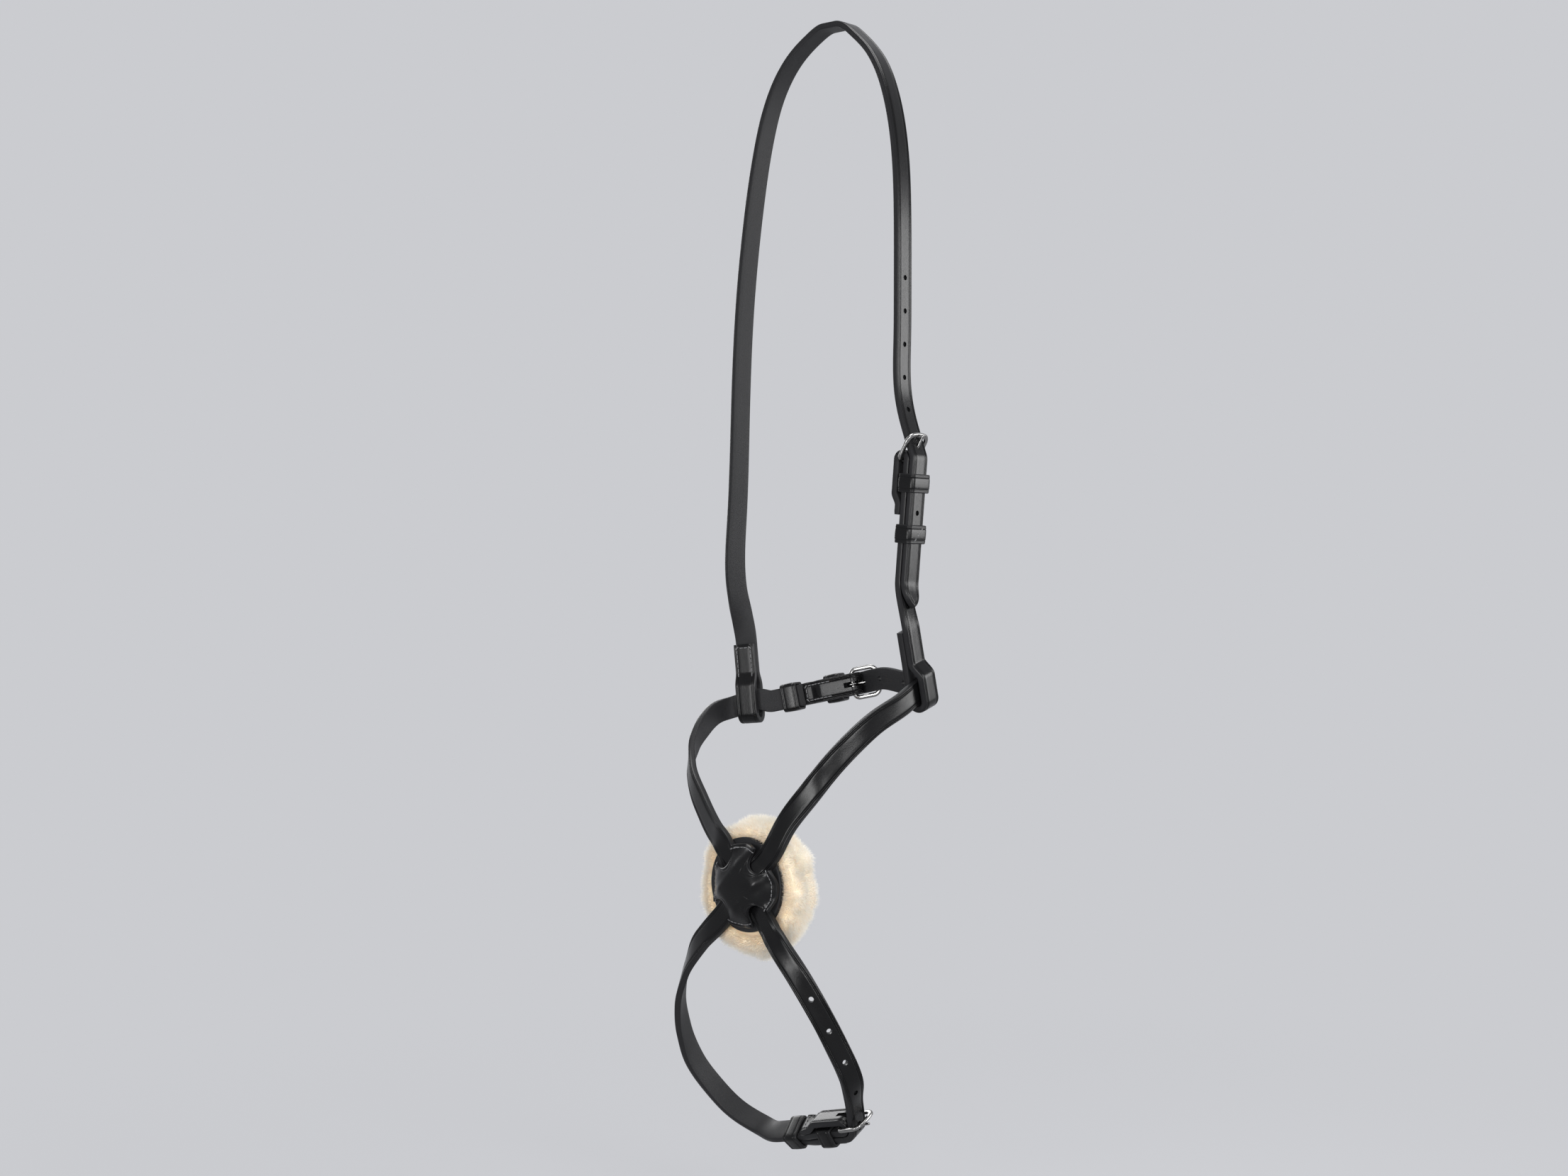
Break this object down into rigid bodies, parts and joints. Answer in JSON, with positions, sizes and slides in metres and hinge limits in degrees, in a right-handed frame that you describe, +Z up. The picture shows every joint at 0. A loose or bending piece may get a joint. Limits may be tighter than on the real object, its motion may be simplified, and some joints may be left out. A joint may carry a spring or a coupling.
{
  "type": "figure eight noseband",
  "caption": "Leather noseband of crossed straps with a round sheepskin-backed nose patch, hung from a strap over the poll and fastened by buckles at cheek, jaw and chin.",
  "frame": {"origin": "middle of the crown's underside, where the horse's poll carries the headpiece", "axes": "+Z up, -Y towards the front of the nose, +X towards the horse's near (left) side"},
  "size_m": [0.1552, 0.1197, 0.6528],
  "materials": {
    "bridle_leather": "semi-gloss black bridle leather, creased near its edges",
    "nickel_steel": "bright nickel",
    "linen_thread": "waxed black thread",
    "sheepskin_wool": "clipped natural wool",
    "sheepskin_hide": "suede side of a tanned sheepskin"
  },
  "bodies": {
    "headpiece": {"headpiece_strap": "bridle_leather", "cheek_strap": "bridle_leather", "cheek_fixed_keeper": "bridle_leather", "cheek_chape_stitching": "linen_thread", "off_side_loop_stitching": "linen_thread", "near_side_loop_stitching": "linen_thread"},
    "noseband": {"off_side_nose_strap": "bridle_leather", "near_side_nose_strap": "bridle_leather", "jaw_fixed_keeper": "bridle_leather", "chin_fixed_keeper": "bridle_leather", "jaw_chape_stitching": "linen_thread", "chin_chape_stitching": "linen_thread", "patch_backing": "bridle_leather", "sheepskin_hide": "sheepskin_hide", "sheepskin_wool": "sheepskin_wool", "patch_cover": "bridle_leather", "patch_stitching_upper": "linen_thread", "patch_stitching_off_side": "linen_thread", "patch_stitching_lower": "linen_thread", "patch_stitching_near_side": "linen_thread"},
    "cheek_frame": {"cheek_buckle_frame": "nickel_steel"},
    "cheek_tongue": {"cheek_buckle_tongue": "nickel_steel"},
    "cheek_keeper": {"cheek_sliding_keeper": "bridle_leather"},
    "jaw_frame": {"jaw_buckle_frame": "nickel_steel"},
    "jaw_tongue": {"jaw_buckle_tongue": "nickel_steel"},
    "jaw_keeper": {"jaw_sliding_keeper": "bridle_leather"},
    "chin_frame": {"chin_buckle_frame": "nickel_steel"},
    "chin_tongue": {"chin_buckle_tongue": "nickel_steel"},
    "chin_keeper": {"chin_sliding_keeper": "bridle_leather"}
  },
  "joints": [
    {"name": "nose_swing", "type": "hinge", "parent": "headpiece", "child": "noseband", "pos_m": [-0.06699, 0.00176, -0.39431], "axis": [0.9949, -0.0548, 0.0848], "range_deg": [-4, 6]},
    {"name": "cheek_frame_turn", "type": "hinge", "parent": "headpiece", "child": "cheek_frame", "pos_m": [0.06286, -0.01304, -0.25395], "axis": [0, 1, 0], "range_deg": [-4, 2]},
    {"name": "cheek_tongue_turn", "type": "hinge", "parent": "cheek_frame", "child": "cheek_tongue", "pos_m": [0.06286, -0.01304, -0.25395], "axis": [0, 1, 0], "range_deg": [0, 2]},
    {"name": "cheek_keeper_slide", "type": "slide", "parent": "headpiece", "child": "cheek_keeper", "axis": [-0.0896, 0, -0.996], "range_m": [-0.005, 0.02]},
    {"name": "jaw_frame_turn", "type": "hinge", "parent": "noseband", "child": "jaw_frame", "pos_m": [-0.0021, 0.0196, -0.38292], "axis": [-0.1967, -0.0621, 0.9785], "range_deg": [-4, 6]},
    {"name": "jaw_tongue_turn", "type": "hinge", "parent": "jaw_frame", "child": "jaw_tongue", "pos_m": [-0.0021, 0.0196, -0.38292], "axis": [-0.1967, -0.0621, 0.9785], "range_deg": [0, 6]},
    {"name": "jaw_keeper_slide", "type": "slide", "parent": "noseband", "child": "jaw_keeper", "axis": [-0.9308, -0.3019, -0.2063], "range_m": [-0.005, 0.008]},
    {"name": "chin_frame_turn", "type": "hinge", "parent": "noseband", "child": "chin_frame", "pos_m": [0.03612, -0.03544, -0.62608], "axis": [-0.0399, 0.9107, 0.4111], "range_deg": [-6, 8]},
    {"name": "chin_tongue_turn", "type": "hinge", "parent": "chin_frame", "child": "chin_tongue", "pos_m": [0.03612, -0.03544, -0.62608], "axis": [-0.0399, 0.9107, 0.4111], "range_deg": [0, 6]},
    {"name": "chin_keeper_slide", "type": "slide", "parent": "noseband", "child": "chin_keeper", "axis": [-0.9743, 0.0558, -0.2182], "range_m": [0, 0.008]}
  ]
}
